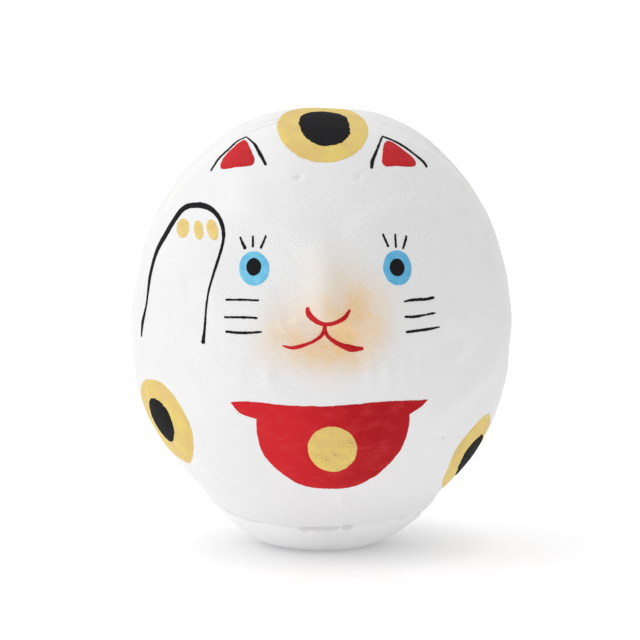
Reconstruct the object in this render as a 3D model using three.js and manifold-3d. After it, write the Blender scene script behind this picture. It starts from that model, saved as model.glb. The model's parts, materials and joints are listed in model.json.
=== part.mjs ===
// A roly-poly papier-mache doll painted as a beckoning cat, in millimetres.
// +Z is up, the face looks along -Y, and the origin is the centre of the foot's flat underside.
// Left and right are as seen by someone who faces the doll: left is -X, right is +X.
//
// Two moulded pulp half shells meet on a leaning plane, under a strip of paper. They sit on a bowl
// that plugs their open bottom and holds the clay that rights the doll. The paint is laid on the
// outside as thin coats, each a node of its own.
import * as THREE from "three";
import { TessellateModifier } from "three/addons/modifiers/TessellateModifier.js";
import { mergeVertices } from "three/addons/utils/BufferGeometryUtils.js";
import Module from "manifold-3d";

const wasm = await Module();
wasm.setup();

// Body
const HEIGHT = 110; // floor to crown
const WAIST_R = 48; // widest ring
const WAIST_Z = 59;
const RIM_R = 25; // open bottom edge of the shell
const RIM_Z = 8;
const WALL = 1.2; // moulded pulp
const CROWN_CURVE = { along: 1.62, across: 2.5 }; // superellipse exponents above the waist
const SKIRT_CURVE = { along: 2.86, across: 0.83 }; // and below it
const GAP = 0.3; // clearance between glued pieces

// Joint of the two half shells: a plane that leans back as it goes down
const JOINT_TOP_Y = -13.4;
const JOINT_LEAN = THREE.MathUtils.degToRad(6.5);
const STRIP_WIDTH = 3.2;
const STRIP_LIFT = 0.1;
const STRIP_THICKNESS = 0.15;

// Foot and what it holds
const FOOT_R = 13; // flat disc that it stands on
const BOWL_CURVE = 1.15;
const BOWL_FLOOR = 2.5;
const BOWL_FLOOR_R = 12; // inside, where the floor starts to climb
const BOWL_CORNER_Z = 8; // inside, where the sloping floor meets the wall
const PLUG_TOP = 20;
const PLUG_WALL = 1.6;
const CLAY_TOP = 19;
const CLAY_DOME = 1; // how far the clay stands up in its middle
const GLUE_THICKNESS = 0.5; // between the shell's rim and the bowl's shoulder
const GLUE_GAP = 0.15;
const GLUE_INSET = 0.2; // of its outer edge from the rim's

// Paint
const COAT = 0.2;
const COAT_LIFT = 0.12; // lowest coat above the skin
const COAT_STEP = 0.3; // from one coat to the one painted over it

// Mesh fineness
const AROUND = 40;
const SKIRT_RINGS = 9;
const CROWN_RINGS = 14;
const BOWL_STEPS = 6;
const COAT_EDGE = 4.5; // longest edge of a coat's triangles, so that they follow the skin
const STEEP_COAT_EDGE = 2; // the same where the skin turns away from the plane of the outline
const REACH = 90; // further than any point of the body from its axis

const COLOURS = {
  chalk: 0xefefee,
  washi: 0xe9e6df,
  foot: 0xe6e6e5,
  clay: 0x9a7b5f,
  glue: 0xd9cfae,
  gold: 0xdcc06c,
  black: 0x232326,
  red: 0xc0202e,
  blue: 0x63b9e2,
};

// ---- the body's shape

function bodyRadius(z) {
  if (z >= WAIST_Z) {
    const rise = Math.min((z - WAIST_Z) / (HEIGHT - WAIST_Z), 1);
    return WAIST_R * (1 - rise ** CROWN_CURVE.along) ** (1 / CROWN_CURVE.across);
  }
  const drop = Math.min((WAIST_Z - z) / (WAIST_Z - RIM_Z), 1);
  const flare = (1 - drop ** SKIRT_CURVE.along) ** (1 / SKIRT_CURVE.across);
  return RIM_R + (WAIST_R - RIM_R) * flare;
}

// The outward normal of the profile at a height, as its radial and upward parts.
function profileNormal(z) {
  const step = 0.01;
  const slope = (bodyRadius(z + step) - bodyRadius(z - step)) / (2 * step);
  const length = Math.hypot(1, slope);
  return { radial: 1 / length, upward: -slope / length };
}

// Heights of the shell's rings from the rim up, closer together near the crown.
function ringHeights() {
  const heights = [];
  for (let i = 0; i < SKIRT_RINGS; i += 1) {
    heights.push(RIM_Z + ((WAIST_Z - RIM_Z) * i) / SKIRT_RINGS);
  }
  for (let i = 0; i < CROWN_RINGS; i += 1) {
    heights.push(WAIST_Z + (HEIGHT - WAIST_Z) * Math.sin((i / CROWN_RINGS) * (Math.PI / 2)));
  }
  return heights;
}

// The body's profile moved outwards by lift, from the rim up to the axis.
function liftedProfile(lift) {
  const points = ringHeights().map((z) => {
    const { radial, upward } = profileNormal(z);
    return [bodyRadius(z) + lift * radial, z + lift * upward];
  });
  points[0] = [RIM_R + lift, RIM_Z];
  points.push([0, HEIGHT + lift]);
  return points;
}

// ---- making and cutting solids

// Turns a profile of [radius, height] points about Z. Its outer side runs upwards.
function turned(profile) {
  const points = profile.map(([r, z]) => new THREE.Vector2(r, z));
  return new THREE.LatheGeometry(points, AROUND).rotateX(Math.PI / 2);
}

function toSolid(geometry) {
  const bare = geometry.clone();
  bare.deleteAttribute("normal");
  bare.deleteAttribute("uv");
  const merged = mergeVertices(bare);
  const vertProperties = new Float32Array(merged.getAttribute("position").array);
  const triVerts = new Uint32Array(merged.index.array);
  return new wasm.Manifold(new wasm.Mesh({ numProp: 3, vertProperties, triVerts }));
}

function toGeometry(solid) {
  const { vertProperties, triVerts } = solid.getMesh();
  const geometry = new THREE.BufferGeometry();
  geometry.setAttribute("position", new THREE.BufferAttribute(vertProperties, 3));
  geometry.setIndex(new THREE.BufferAttribute(triVerts, 1));
  return geometry;
}

// A block whose middle plane is the shells' joint moved back by offset.
function jointBlock(thickness, offset) {
  const size = 4 * REACH;
  return toSolid(
    new THREE.BoxGeometry(size, thickness, size)
      .translate(0, offset, 0)
      .rotateX(JOINT_LEAN)
      .translate(0, JOINT_TOP_Y, HEIGHT),
  );
}

const doll = new THREE.Group();

function add(name, geometry, colour, roughness) {
  const material = new THREE.MeshStandardMaterial({
    color: COLOURS[colour],
    roughness,
    metalness: 0,
    flatShading: true,
  });
  const mesh = new THREE.Mesh(geometry, material);
  mesh.name = name;
  doll.add(mesh);
}

// ---- the pieces

function addShells() {
  const outside = liftedProfile(0);
  const inside = liftedProfile(-WALL).reverse();
  const shell = toSolid(turned([...inside, ...outside]));
  const half = REACH * 2;
  const aside = (half + GAP) / 2;
  add("front_shell", toGeometry(shell.intersect(jointBlock(half, -aside))), "chalk", 0.8);
  add("back_shell", toGeometry(shell.intersect(jointBlock(half, aside))), "chalk", 0.8);
}

function addSeamStrip() {
  const inside = liftedProfile(STRIP_LIFT).reverse();
  const outside = liftedProfile(STRIP_LIFT + STRIP_THICKNESS);
  const skin = toSolid(turned([...inside, ...outside]));
  add("seam_strip", toGeometry(skin.intersect(jointBlock(STRIP_WIDTH, 0))), "washi", 0.85);
}

const SHOULDER_Z = RIM_Z - GLUE_THICKNESS - 2 * GLUE_GAP;

// The bowl's underside, from the flat foot up to the shoulder below the shell's rim.
function bowlUnderside() {
  const points = [];
  for (let i = 0; i <= BOWL_STEPS; i += 1) {
    const out = i / BOWL_STEPS;
    const rise = 1 - (1 - out ** BOWL_CURVE) ** (1 / BOWL_CURVE);
    points.push([FOOT_R + (RIM_R - FOOT_R) * out, SHOULDER_Z * rise]);
  }
  return points;
}

function addBowlAndClay() {
  const plugOuter = RIM_R - WALL - GAP;
  const plugInner = plugOuter - PLUG_WALL;
  const bowl = [
    [0, 0],
    ...bowlUnderside(),
    [plugOuter, SHOULDER_Z],
    [plugOuter, PLUG_TOP],
    [plugInner, PLUG_TOP],
    [plugInner, BOWL_CORNER_Z],
    [BOWL_FLOOR_R, BOWL_FLOOR],
    [0, BOWL_FLOOR],
  ];
  const clayR = plugInner - GAP;
  const clay = [
    [0, BOWL_FLOOR + GAP],
    [BOWL_FLOOR_R - GAP, BOWL_FLOOR + GAP],
    [clayR, BOWL_CORNER_Z + GAP],
    [clayR, CLAY_TOP],
    [clayR / 2, CLAY_TOP + CLAY_DOME * 0.75],
    [0, CLAY_TOP + CLAY_DOME],
  ];
  add("base_bowl", turned(bowl), "foot", 0.7);
  add("clay_ballast", turned(clay), "clay", 0.95);
}

// A ring of glue under the shell's rim, on the bowl's shoulder.
function addGlueSeam() {
  const inner = RIM_R - WALL;
  const outer = RIM_R - GLUE_INSET;
  const bottom = SHOULDER_Z + GLUE_GAP;
  const top = RIM_Z - GLUE_GAP;
  const ring = [
    [inner, bottom],
    [outer, bottom],
    [outer, top],
    [inner, top],
    [inner, bottom],
  ];
  add("glue_seam", turned(ring), "glue", 0.4);
}

// ---- flat outlines for the paint, in a plane of right and up

const toVector = ([right, up, width = 0]) => new THREE.Vector3(right, up, width);
const toFlat = ({ x, y }) => new THREE.Vector2(x, y);

// A smooth closed outline through its points.
function blob(points, steps = 2) {
  const curve = new THREE.CatmullRomCurve3(points.map(toVector), true);
  return new THREE.Shape(curve.getPoints(points.length * steps).slice(1).map(toFlat));
}

// An outline with corners: each run is smooth from the last corner to its own last point.
function patch(corner, ...runs) {
  const shape = new THREE.Shape().moveTo(...corner);
  for (const run of runs) {
    shape.splineThru(run.map(([right, up]) => new THREE.Vector2(right, up)));
  }
  return new THREE.Shape(shape.getPoints(2).slice(1));
}

function oval(right, up, halfWidth, halfHeight, tiltDegrees = 0) {
  const tilt = THREE.MathUtils.degToRad(tiltDegrees);
  const ring = new THREE.EllipseCurve(right, up, halfWidth, halfHeight, 0, 2 * Math.PI, false, tilt);
  return new THREE.Shape(ring.getPoints(20).slice(1));
}

// A brush stroke along [right, up, width] points, with a short rounded tip at both ends.
function stroke(points, steps = 2) {
  const line = new THREE.CatmullRomCurve3(points.map(toVector));
  const count = (points.length - 1) * steps;
  const sides = [[], []];
  for (let i = 0; i <= count; i += 1) {
    const at = line.getPoint(i / count);
    const along = toFlat(line.getTangent(i / count)).normalize();
    const across = new THREE.Vector2(-along.y, along.x).multiplyScalar(at.z / 2);
    sides[0].push(toFlat(at).add(across));
    sides[1].push(toFlat(at).sub(across));
    const end = i === 0 ? -1 : 1;
    if (i === 0 || i === count) {
      sides[0].push(toFlat(at).addScaledVector(along, (end * at.z) / 3));
    }
  }
  const [startLeft, startTip] = sides[0];
  const left = [startTip, startLeft, ...sides[0].slice(2)];
  return new THREE.Shape([...left, ...sides[1].reverse()]);
}

// ---- laying paint on the body

// A plane that looks at the body from an azimuth and elevation, through the axis at a height.
function facing(azimuthDegrees, elevationDegrees, height, longestEdge = COAT_EDGE) {
  const azimuth = THREE.MathUtils.degToRad(azimuthDegrees);
  const elevation = THREE.MathUtils.degToRad(elevationDegrees);
  const towards = new THREE.Vector3(
    Math.sin(azimuth) * Math.cos(elevation),
    -Math.cos(azimuth) * Math.cos(elevation),
    Math.sin(elevation),
  );
  const right = new THREE.Vector3(Math.cos(azimuth), Math.sin(azimuth), 0);
  const up = new THREE.Vector3().crossVectors(towards, right);
  return { origin: new THREE.Vector3(0, 0, height), towards, right, up, longestEdge };
}

const FRONT = facing(0, 0, 0);
const BROW = facing(0, 0, 0, STEEP_COAT_EDGE);
const CROWN = facing(0, 90, WAIST_Z);
const LEFT_FLANK = facing(-70, -18, 34);
const RIGHT_FLANK = facing(75, -25, 27);

// The point of the skin that a plane's point sees, lifted off it along the skin's normal.
function skinPoint(plane, right, up, lift) {
  const start = plane.origin.clone();
  start.addScaledVector(plane.right, right);
  start.addScaledVector(plane.up, up);
  let near = 0;
  let far = REACH;
  for (let i = 0; i < 40; i += 1) {
    const middle = (near + far) / 2;
    const probe = start.clone().addScaledVector(plane.towards, middle);
    if (Math.hypot(probe.x, probe.y) < bodyRadius(probe.z)) {
      near = middle;
    } else {
      far = middle;
    }
  }
  const point = start.addScaledVector(plane.towards, near);
  const { radial, upward } = profileNormal(point.z);
  const distance = Math.max(Math.hypot(point.x, point.y), 1e-6);
  const normal = new THREE.Vector3(point.x / distance, point.y / distance, 0);
  normal.multiplyScalar(radial).setZ(upward);
  return point.addScaledVector(normal, lift);
}

// Extrudes flat outlines, joins them and bends the plate onto the skin as one coat.
function paint(name, plane, layer, colour, ...outlines) {
  const plates = outlines.map((shape) =>
    new THREE.ExtrudeGeometry(shape, { depth: 1, bevelEnabled: false }),
  );
  const joined = plates.map(toSolid).reduce((all, plate) => all.add(plate));
  const fine = new TessellateModifier(plane.longestEdge, 12).modify(toGeometry(joined));
  const position = fine.getAttribute("position");
  for (let i = 0; i < position.count; i += 1) {
    const lift = COAT_LIFT + layer * COAT_STEP + position.getZ(i) * COAT;
    const point = skinPoint(plane, position.getX(i), position.getY(i), lift);
    position.setXYZ(i, point.x, point.y, point.z);
  }
  add(name, mergeVertices(fine), colour, 0.6);
}

function paintSpots() {
  const crownGold = blob([
    [0, -30.8], [-4.8, -29.4], [-8.8, -25.3], [-10.7, -18.5], [-10.4, -11.5], [-8.6, -4.5],
    [-5, 1], [0.3, 3], [5.6, 0.4], [9.3, -7], [11.4, -15], [11, -21.5], [8.6, -27], [4, -30.2],
  ]);
  const crownBlack = blob([
    [0.1, -26.6], [-3.7, -24], [-5.2, -19.2], [-5.3, -14], [-4, -10], [0.1, -7.2],
    [4.2, -8.8], [6.1, -12], [6.9, -17.5], [6.7, -21.8], [4.2, -25.6],
  ]);
  const leftGold = blob([
    [2.5, 24.1], [8.1, 24.6], [12.2, 23.7], [16.4, 19.6], [18.3, 14], [17.4, 9.6], [13.6, 4.8],
    [9, 2.1], [4.5, 2.4], [-1.5, 3.4], [-6, 6.5], [-8.3, 11.5], [-6.7, 17], [-2.8, 21.6],
  ]);
  const leftBlack = blob([
    [3.9, 19.5], [8.6, 19], [11.2, 16.2], [11.4, 12.4], [8.8, 9.2], [4.7, 7.9],
    [1, 9.6], [-0.5, 14], [0.7, 17.8],
  ]);
  const rightGold = blob([
    [-6.6, 26.6], [-11, 25.5], [-13.9, 21.7], [-15.3, 16.6], [-13, 11.2], [-9.6, 6.9], [-4, 3.9],
    [1.6, 2.4], [6, 4], [8.6, 9], [7.6, 15], [3.8, 20], [-0.8, 23.4],
  ]);
  const rightBlack = blob([
    [-4.8, 20.6], [-8.4, 19.3], [-10.2, 16.6], [-8.9, 13.2], [-5.2, 9.6], [-1, 7.3],
    [2.6, 7.1], [4.3, 10.2], [3, 15], [-0.8, 18.9],
  ]);
  paint("crown_spot_gold", CROWN, 1, "gold", crownGold);
  paint("crown_spot_black", CROWN, 2, "black", crownBlack);
  paint("left_flank_spot_gold", LEFT_FLANK, 1, "gold", leftGold);
  paint("left_flank_spot_black", LEFT_FLANK, 2, "black", leftBlack);
  paint("right_flank_spot_gold", RIGHT_FLANK, 1, "gold", rightGold);
  paint("right_flank_spot_black", RIGHT_FLANK, 2, "black", rightBlack);
}

function paintEars() {
  const leftOuter = stroke([
    [-27.3, 96.1, 0.4], [-25.4, 98.8, 0.4], [-22.5, 101.1, 0.35], [-20.2, 102.9, 0.3], [-18.3, 103.8, 0.25],
  ]);
  const leftInner = stroke([
    [-18.4, 103.85, 0.25], [-16.3, 102.4, 0.6], [-14.8, 100.3, 0.85], [-13.4, 98.1, 0.65],
  ]);
  const rightInner = stroke([
    [12.1, 97.5, 0.75], [12.4, 99.1, 0.9], [13.5, 101.4, 0.65], [14.3, 103.2, 0.5], [15, 104.5, 0.45],
  ]);
  const rightOuter = stroke([
    [14.9, 104.55, 0.35], [17, 103.7, 0.35], [19.6, 102.3, 0.45], [22.6, 100.1, 0.4],
    [25, 98, 0.5], [25.8, 96.9, 0.45],
  ]);
  const leftRed = blob([
    [-18.2, 102.9], [-19, 103.1], [-21.5, 101.4], [-24.2, 99], [-24.9, 97.2], [-24.5, 96.7], [-21, 97.1],
    [-17.8, 97.5], [-16.4, 98], [-16.2, 99.2], [-17.3, 101.5],
  ]);
  const rightRed = blob([
    [16.2, 103.5], [18, 102.7], [20.6, 100.8], [22.8, 98.8], [23.1, 97.6], [21.5, 97.4], [18.5, 97.7],
    [15.6, 97.8], [14.7, 98.8], [14.9, 100.8], [15.3, 102.7],
  ]);
  paint("left_ear_outline", BROW, 0, "black", leftOuter, leftInner);
  paint("right_ear_outline", BROW, 0, "black", rightInner, rightOuter);
  paint("left_ear_red", BROW, 0, "red", leftRed);
  paint("right_ear_red", BROW, 0, "red", rightRed);
}

function paintEyes() {
  paint("left_iris", FRONT, 0, "blue", oval(-16.4, 74.5, 3.7, 4.05));
  paint("left_pupil", FRONT, 1, "black", oval(-16.5, 74.9, 1.8, 2.1, -8));
  paint("right_iris", FRONT, 0, "blue", oval(18.35, 74.5, 3.4, 4.15, 12));
  paint("right_pupil", FRONT, 1, "black", oval(18.25, 74.6, 1.75, 2.1, 14));
  const lashes = {
    left: [
      [[-19.7, 81.6, 0.3], [-19.2, 80.4, 0.45], [-18.6, 79.1, 0.6]],
      [[-16.6, 81.9, 0.3], [-16.7, 79.6, 0.4]],
      [[-13.4, 82.1, 0.35], [-14.8, 79.4, 0.35]],
    ],
    right: [
      [[14.7, 82.3, 0.35], [16.1, 79.6, 0.35]],
      [[17.7, 82.2, 0.3], [18, 79.3, 0.35]],
      [[20.4, 81.7, 0.3], [20.3, 80.9, 0.5], [19.7, 78.9, 0.3]],
    ],
  };
  const whiskers = {
    left: [
      [[-22.7, 66.7, 0.35], [-19, 66.95, 0.4], [-15, 66.95, 0.35]],
      [[-22.9, 62.6, 0.3], [-19, 62.8, 0.4], [-15.1, 62.85, 0.4]],
      [[-22.4, 59.3, 0.5], [-18.5, 59.2, 0.5], [-14.1, 59.65, 0.35]],
    ],
    right: [
      [[19.5, 66.4, 0.2], [21.5, 66.75, 0.6], [24.8, 66.7, 0.55], [26.8, 66.95, 0.55]],
      [[19.6, 62.9, 0.35], [21.4, 62.75, 0.55], [23.5, 62.95, 0.4], [27, 63.3, 0.3]],
      [[19.9, 59.35, 0.5], [23.5, 59.55, 0.5], [26, 59.7, 0.5], [28.1, 59.9, 0.2]],
    ],
  };
  for (const side of ["left", "right"]) {
    lashes[side].forEach((line, i) => {
      paint(`${side}_lash_${i + 1}`, FRONT, 0, "black", stroke(line));
    });
    whiskers[side].forEach((line, i) => {
      paint(`${side}_whisker_${i + 1}`, FRONT, 0, "black", stroke(line));
    });
  }
}

function paintNoseAndMouth() {
  const nose = stroke([
    [-3.3, 65.4, 0.95], [-3, 64.2, 1.3], [-1.8, 62.8, 1.25], [0.6, 61.65, 1], [3.2, 62, 0.95],
    [5.3, 63.1, 1], [6.6, 64.9, 0.65],
  ]);
  const mouthLeft = stroke([
    [0.75, 61.6, 0.9], [0.6, 60, 0.95], [-0.2, 58.8, 0.85], [-3, 57.1, 0.75], [-6.8, 56.05, 0.85],
    [-9, 56.5, 0.3],
  ]);
  const mouthRight = stroke([
    [0.75, 61.6, 0.9], [0.9, 60, 0.95], [1.7, 58.6, 0.9], [4, 57, 1.1], [7, 55.85, 1.65], [9.7, 55.8, 0.8],
  ]);
  paint("nose_mouth", FRONT, 0, "red", nose, mouthLeft, mouthRight);
}

function paintPaw() {
  const outline = stroke([
    [-44, 55, 0.3], [-43.7, 58.5, 0.6], [-42.8, 63, 0.4], [-41.9, 69, 0.6], [-40.1, 75.8, 0.8],
    [-38.1, 80, 0.9], [-35.4, 85, 0.95], [-33, 87.5, 1.05], [-29.3, 88.2, 1.4], [-26, 86.9, 1.15],
    [-24, 84, 1], [-23.8, 80.5, 0.75], [-25.3, 75, 0.6], [-26.8, 69, 0.55], [-27.5, 64, 0.5],
    [-28, 58.5, 0.7], [-28.4, 56, 1.05],
  ]);
  paint("paw_outline", FRONT, 0, "black", outline);
  const claws = [
    oval(-33.8, 82.4, 1.6, 2.25, -6),
    oval(-29.8, 82.4, 1.15, 2.25, 10),
    oval(-26.45, 82.8, 1.35, 2.4, 16),
  ];
  claws.forEach((claw, i) => {
    paint(`paw_claw_${i + 1}`, FRONT, 0, "gold", claw);
  });
}

function paintBib() {
  const cloth = patch(
    [-21.7, 41.9],
    [[-20, 42.4], [-16, 42.5], [-9, 41.9], [0, 41.8], [8, 42.3], [16, 42.8], [25.4, 42.4]],
    [[23.6, 40.7], [21, 39.1]],
    [[21, 35.5], [19.4, 30], [15.2, 25], [9.5, 21.2], [2.5, 19.9], [-4.5, 20.8], [-10.5, 24.3], [-14.4, 29],
      [-15.6, 34.5], [-15.6, 38.1]],
    [[-19.5, 39.4], [-21.7, 41.9]],
  );
  paint("bib", FRONT, 0, "red", cloth);
  paint("bell", FRONT, 1, "gold", oval(2.6, 30.9, 5.9, 5.9));
}

addShells();
addSeamStrip();
addBowlAndClay();
addGlueSeam();
paintSpots();
paintEars();
paintEyes();
paintNoseAndMouth();
paintPaw();
paintBib();

export default doll;
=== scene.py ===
"""The looks of a papier-mache tumbler doll painted as a cat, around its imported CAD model.

Shapes are worked out as numpy arrays in millimetres, in the CAD frame: +Z is up and the face
looks along -Y. mesh_object() turns them into metres. Left is -X, as seen by someone who faces
the doll.
"""

import json
import math

import bmesh
import bpy
import numpy as np
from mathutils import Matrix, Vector, geometry


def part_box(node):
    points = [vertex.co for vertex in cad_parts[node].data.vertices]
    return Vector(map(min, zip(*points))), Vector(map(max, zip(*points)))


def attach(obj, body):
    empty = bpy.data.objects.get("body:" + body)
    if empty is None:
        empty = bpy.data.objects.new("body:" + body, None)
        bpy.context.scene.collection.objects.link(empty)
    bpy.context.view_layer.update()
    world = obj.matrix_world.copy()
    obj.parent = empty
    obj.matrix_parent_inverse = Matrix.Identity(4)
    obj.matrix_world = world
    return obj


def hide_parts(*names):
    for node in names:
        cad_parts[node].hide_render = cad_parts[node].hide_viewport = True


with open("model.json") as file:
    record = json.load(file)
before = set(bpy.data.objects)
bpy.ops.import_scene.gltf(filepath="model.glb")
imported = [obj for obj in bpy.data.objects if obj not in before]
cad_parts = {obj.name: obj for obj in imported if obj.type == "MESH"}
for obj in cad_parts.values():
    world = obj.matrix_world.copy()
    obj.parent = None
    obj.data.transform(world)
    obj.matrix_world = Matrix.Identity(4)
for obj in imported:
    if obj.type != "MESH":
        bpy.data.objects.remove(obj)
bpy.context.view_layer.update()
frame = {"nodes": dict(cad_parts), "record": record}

MM = 0.001


def box_mm(node):
    """Lowest and highest corner of a CAD node, in millimetres."""
    low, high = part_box(node)
    return np.array(low) / MM, np.array(high) / MM


# ---- sizes, in millimetres; the first four are the frame's own

HEIGHT = box_mm("back_shell")[1][2]
WAIST_R = box_mm("back_shell")[1][0]
RIM_Z = box_mm("back_shell")[0][2]
RIM_R = box_mm("base_bowl")[1][0]
WAIST_Z = 59
CROWN_ALONG, CROWN_ACROSS = 1.62, 2.5  # superellipse exponents above the waist
SKIRT_ALONG, SKIRT_ACROSS = 2.86, 0.83  # and below it
WALL = 1.2  # of the pulp shells
BODY_SAMPLES = 4000  # along each of the two curves of the side

JOINT_TOP_Y = -13.4
JOINT_LEAN = math.radians(6.5)
JOINT_NORMAL = np.array([0, math.cos(JOINT_LEAN), math.sin(JOINT_LEAN)])
JOINT_GAP = 0.1
JOINT_SAMPLES = 40000
STRIP_HALF_WIDTH = 1.6
STRIP_MARGIN = 0.35  # of the modelled band past each edge of the strip
STRIP_ROWS, STRIP_COLUMNS = 520, 25
STRIP_HEIGHT = 0.06
STRIP_WANDER = 0.12  # of its edges, to either side
STRIP_EDGE_WIDTH = 0.2
STRIP_EDGE_HEIGHT = 0.03  # of the ridge that each edge makes
LOOSE_EDGE_HEIGHT = 0.22  # more of it, where the strip has lifted on the crown
LOOSE_EDGE_X, LOOSE_EDGE_SPAN = -13, 5

SEAM_HEIGHT = 0.25  # between the shell's rim and the bowl's shoulder
SHOULDER_Z = RIM_Z - SEAM_HEIGHT
SEAM_RISE = 2.8  # of the seam at the doll's sides, above its front and back
SEAM_RISE_TOP = 17  # height from which the shells no longer follow it
RIM_FULLER = 0.4  # how much wider than the CAD the skin is at the seam,
SKIRT_FULLER = 0.8  # and just above it
FULLEST_Z, FULLER_TOP = 10.8, 14.5  # where that is widest, and where it ends
RIM_ROUGHNESS = 0.03  # of the shell's rim, fading out over this height:
RIM_ROUGH_HEIGHT = 2.5
CRACKS = [  # in the seam: start and end, in degrees to the right of the front, and how open
    (-13, 18, 1),
    (43, 76, 0.8),
]
CRACK_DEPTH = 0.03
SQUEEZED_OUT = (-66, -34)  # where glue has come out of the seam, in the same degrees
SQUEEZED_HEIGHT = 0.08
SOFT_DEGREES = 4  # over which these fade out, to either side of their ends
BEAD_OVERLAP = 0.04  # of the seam's bead with the rim above it and the shoulder below
BEAD_PROUD, BEAD_ROUNDING = 0.04, 0.08  # past the skin, and back from that at its edges

FOOT_R = 13
BOWL_CURVE = 1.5  # 1 would be a plain cone
FOOT_LUMPS = 0.03
FLAKED_BAND = (0.1, 1.6)  # how far below the seam its cracks are full, and end
PLUG_TOP = 20
PLUG_OUTER_R = RIM_R - WALL - 0.3
PLUG_INNER_R = PLUG_OUTER_R - 1.6
LEDGE_IN, LEDGE_RISE = 0.3, 0.05  # of the ledge between the bowl's shoulder and its plug
LINING_FREE_Z = PLUG_TOP + 10  # above it the shell's lining follows the skin's hollows
BOWL_CORNER_Z = 8
BOWL_FLOOR_R, BOWL_FLOOR_Z = 12, 2.5

COAT = 0.12  # paint, thicker than life so that one coat hides the other
COAT_EDGE = 0.05  # its height at the very edge
COAT_SOFT_EDGE = 0.28
COAT_ROOT = 0.08  # how far a coat reaches into what it is painted on
CLOSEST_CORNERS = 0.08  # an outline's points nearer than this are taken as one
HIGHEST_COAT = 3.0  # further off the body than any CAD coat
FAR = 200  # further from the origin than any point of the doll
LEVEL_TOLERANCE = 0.05
PAINTED_OVER = ("spot_black", "pupil", "bell")

THIN_STROKES = ("lash", "whisker", "outline", "mouth", "claw", "iris", "pupil")
LASH_SPREAD, WHISKER_SPREAD = 0.1, 0.06  # past the CAD outline
RAGGED_WAVER, WAVER, THIN_WAVER = 0.16, 0.07, 0.05  # of the coats' edges
COAT_STEP, THIN_COAT_STEP = 0.55, 0.28  # of their meshes
CLEAR_OF_EDGE = 0.45  # inner points keep this share of a step from the edge
FIRST_COAT_SEED = 100

# rows up to the top of the joint, rows above it, and columns
FRONT_GRID = (200, 0, 230)
BACK_GRID = (196, 24, 300)
TURNS = 360
SEAM_TURNS = 900


# ---- small helpers


def smoothstep(low, high, value):
    share = np.clip((value - low) / (high - low), 0, 1)
    return share * share * (3 - 2 * share)


def unit(vectors):
    return vectors / np.maximum(np.linalg.norm(vectors, axis=-1, keepdims=True), 1e-12)


def lumps(points, size, seed, waves=26):
    """Smooth seeded noise, mostly from -1 to 1, whose lumps are about size mm wide."""
    rng = np.random.default_rng(seed)
    directions = unit(rng.normal(size=(waves, points.shape[1])))
    lengths = size * rng.uniform(1.5, 3.2, waves)
    phases = rng.uniform(0, 2 * math.pi, waves)
    turns = points @ (directions / lengths[:, None]).T * 2 * math.pi + phases
    return np.cos(turns).sum(1) / math.sqrt(waves)


def along_line(points, line):
    """Distance from each flat point to a line of (x, y, value) points, and the value there."""
    line = np.array(line, float)
    starts, steps = line[:-1, :2], np.diff(line[:, :2], axis=0)
    offset = points[:, None, :] - starts
    share = (offset * steps).sum(2) / np.maximum((steps**2).sum(1), 1e-9)
    share = np.clip(share, 0, 1)
    gap = np.linalg.norm(offset - share[..., None] * steps, axis=2)
    nearest = gap.argmin(1)
    rows = np.arange(len(points))
    share = share[rows, nearest]
    value = line[nearest, 2] * (1 - share) + line[nearest + 1, 2] * share
    return gap[rows, nearest], value


def rounded(line, pieces=6):
    """The same line of points with smooth bends."""
    line = np.array(line, float)
    ends = np.vstack([2 * line[0] - line[1], line, 2 * line[-1] - line[-2]])
    made = []
    for a, b, c, d in zip(ends, ends[1:], ends[2:], ends[3:]):
        for t in np.arange(pieces) / pieces:
            bend = (2 * a - 5 * b + 4 * c - d) * t + (3 * b - a - 3 * c + d) * t * t
            made.append(b + 0.5 * t * (c - a + bend))
    return np.array(made + [line[-1]])


# ---- the smooth body


def side_profile():
    """Radius, height, outward normal and length so far, from the rim up to the crown."""
    turn = np.linspace(0, math.pi / 2, BODY_SAMPLES)
    skirt_r = RIM_R + (WAIST_R - RIM_R) * np.cos(turn) ** (2 / SKIRT_ACROSS)
    skirt_z = WAIST_Z - (WAIST_Z - RIM_Z) * np.sin(turn) ** (2 / SKIRT_ALONG)
    fuller = RIM_FULLER + (SKIRT_FULLER - RIM_FULLER) * smoothstep(RIM_Z, FULLEST_Z, skirt_z)
    skirt_r += fuller * (1 - smoothstep(FULLEST_Z, FULLER_TOP, skirt_z))
    crown_r = WAIST_R * np.cos(turn) ** (2 / CROWN_ACROSS)
    crown_z = WAIST_Z + (HEIGHT - WAIST_Z) * np.sin(turn) ** (2 / CROWN_ALONG)
    r = np.concatenate([skirt_r[::-1], crown_r[1:]])
    z = np.concatenate([skirt_z[::-1], crown_z[1:]])
    steps = np.hypot(np.diff(r), np.diff(z))
    length = np.concatenate([[0], np.cumsum(steps)])
    normal = unit(np.column_stack([np.gradient(z, length), -np.gradient(r, length)]))
    return r, z, normal, length


def foot_side():
    """Radius and height of the foot's outer side, from its flat up to the seam."""
    out = np.linspace(0, 1, 49)
    return FOOT_R + (RIM_R + RIM_FULLER - FOOT_R) * out, SHOULDER_Z * out**BOWL_CURVE


SIDE_R, SIDE_Z, SIDE_NORMAL, SIDE_LENGTH = side_profile()
FOOT_SIDE_R, FOOT_SIDE_Z = foot_side()
OUTLINE_R = np.concatenate([FOOT_SIDE_R, SIDE_R])
OUTLINE_Z = np.concatenate([FOOT_SIDE_Z, SIDE_Z])


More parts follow.
